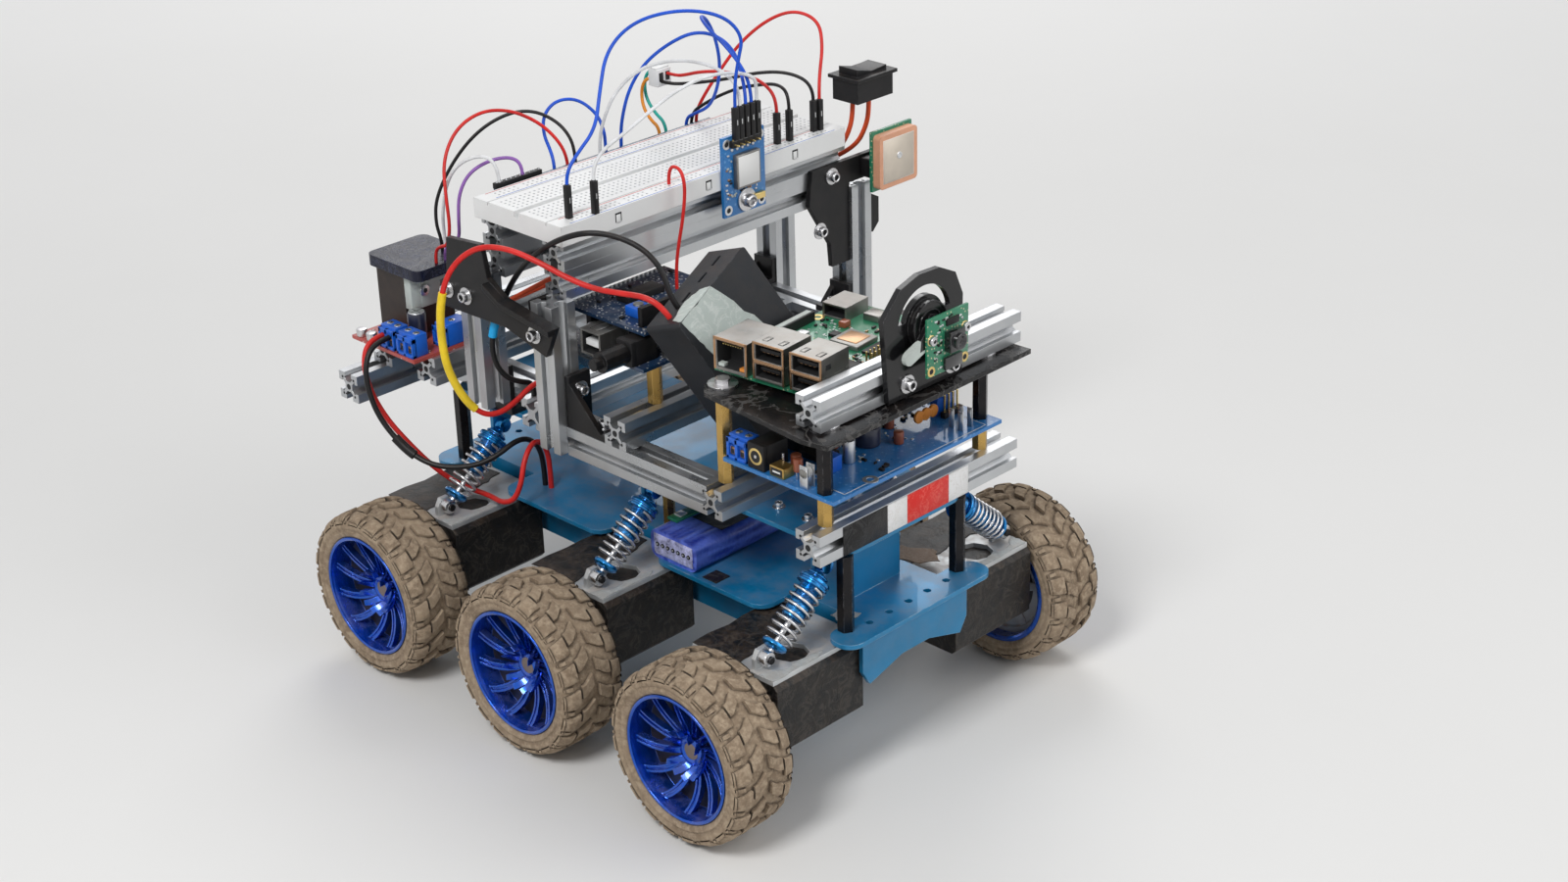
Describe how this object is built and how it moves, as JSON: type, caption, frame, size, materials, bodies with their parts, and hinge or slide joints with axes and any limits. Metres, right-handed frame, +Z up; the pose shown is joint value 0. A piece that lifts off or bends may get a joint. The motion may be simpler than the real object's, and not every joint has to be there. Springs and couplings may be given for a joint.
{
  "type": "planetary rover prototype",
  "caption": "Small wheeled rover: folded blue chassis with sprung motor arms, slotted aluminium bars, stacked circuit boards, a breadboard on posts and a front camera.",
  "frame": {"origin": "on the ground, under the middle of the outline seen from above", "axes": "+X forward towards the camera, +Z up, +Y to the side that the upper frame overhangs"},
  "size_m": [0.282, 0.2656, 0.2766],
  "materials": {
    "arm_metal": "bare aluminium sheet",
    "bar_aluminium": "clear anodised extrusion",
    "black_lead": "black insulated wire",
    "black_metal": "black anodised pillars",
    "black_plastic": "moulded black plastic",
    "black_tape": "black tape, scuffed and dusty",
    "blue_sheet": "blue anodised aluminium sheet, satin",
    "board_blue": "blue circuit board",
    "board_dark": "dark blue circuit board",
    "board_green": "green circuit board",
    "board_red": "red circuit board",
    "brass": "machined brass",
    "case_grey": "dark grey moulded case",
    "coloured_leads": "insulated wires in several colours",
    "components": "mixed electronic components",
    "damper_blue": "bright blue anodised damper",
    "patch_ceramic": "pale ceramic antenna patch",
    "port_metal": "stamped steel sockets",
    "red_lead": "red insulated wire",
    "rim_blue": "deep metallic blue",
    "shrink_wrap": "blue shrink wrap",
    "sink_black": "black heat sink",
    "steel": "bright steel",
    "terminal_blue": "blue screw terminals",
    "tyre_rubber": "black rubber covered in tan dust",
    "white_plastic": "white plastic, lightly soiled"
  },
  "bodies": {
    "chassis": {"antenna_board": "board_green", "antenna_patch": "patch_ceramic", "axle_shafts": "steel", "battery_pack": "shrink_wrap", "black_jumpers": "black_lead", "black_pillars": "black_metal", "black_power_leads": "black_lead", "brass_standoffs": "brass", "breadboard": "white_plastic", "camera_bar": "bar_aluminium", "camera_bracket": "black_plastic", "camera_module": "board_green", "coloured_jumpers": "coloured_leads", "computer_board": "board_green", "computer_ports": "port_metal", "control_board": "board_blue", "control_parts": "components", "controller_boards": "board_dark", "controller_parts": "components", "corner_brackets": "black_plastic", "deck_plate": "black_tape", "deck_washers": "steel", "driver_parts": "terminal_blue", "heat_sink": "sink_black", "lower_hull": "blue_sheet", "lower_rails": "bar_aluminium", "motor_covers": "black_tape", "motor_driver": "board_red", "plate_bars_across": "bar_aluminium", "plate_bars_along": "bar_aluminium", "posts": "bar_aluminium", "power_plug": "black_plastic", "raised_bars": "bar_aluminium", "red_jumpers": "red_lead", "red_power_leads": "red_lead", "rocker_switch": "black_plastic", "satellite_can": "port_metal", "satellite_module": "board_blue", "shock_bodies": "damper_blue", "shock_rods": "steel", "shock_springs": "steel", "sink_lid": "black_tape", "strap_bracket": "black_plastic", "suspension_arms": "arm_metal", "tilted_case": "case_grey", "top_plate": "blue_sheet", "upper_rails": "bar_aluminium", "wire_housings": "black_plastic"},
    "wheel_rear_near": {"tyre_rear_near": "tyre_rubber", "rim_rear_near": "rim_blue"},
    "wheel_rear_far": {"tyre_rear_far": "tyre_rubber", "rim_rear_far": "rim_blue"},
    "wheel_middle_near": {"tyre_middle_near": "tyre_rubber", "rim_middle_near": "rim_blue"},
    "wheel_middle_far": {"tyre_middle_far": "tyre_rubber", "rim_middle_far": "rim_blue"},
    "wheel_front_near": {"tyre_front_near": "tyre_rubber", "rim_front_near": "rim_blue"},
    "wheel_front_far": {"tyre_front_far": "tyre_rubber", "rim_front_far": "rim_blue"}
  },
  "joints": [
    {"name": "spin_rear_near", "type": "hinge", "parent": "chassis", "child": "wheel_rear_near", "pos_m": [-0.088, -0.11925, 0.037], "axis": [0, 1, 0], "continuous": true},
    {"name": "spin_rear_far", "type": "hinge", "parent": "chassis", "child": "wheel_rear_far", "pos_m": [-0.088, 0.07075, 0.037], "axis": [0, 1, 0], "continuous": true},
    {"name": "spin_middle_near", "type": "hinge", "parent": "chassis", "child": "wheel_middle_near", "pos_m": [0.008, -0.11925, 0.037], "axis": [0, 1, 0], "continuous": true},
    {"name": "spin_middle_far", "type": "hinge", "parent": "chassis", "child": "wheel_middle_far", "pos_m": [0.008, 0.07075, 0.037], "axis": [0, 1, 0], "continuous": true},
    {"name": "spin_front_near", "type": "hinge", "parent": "chassis", "child": "wheel_front_near", "pos_m": [0.104, -0.11925, 0.037], "axis": [0, 1, 0], "continuous": true},
    {"name": "spin_front_far", "type": "hinge", "parent": "chassis", "child": "wheel_front_far", "pos_m": [0.104, 0.07075, 0.037], "axis": [0, 1, 0], "continuous": true}
  ]
}
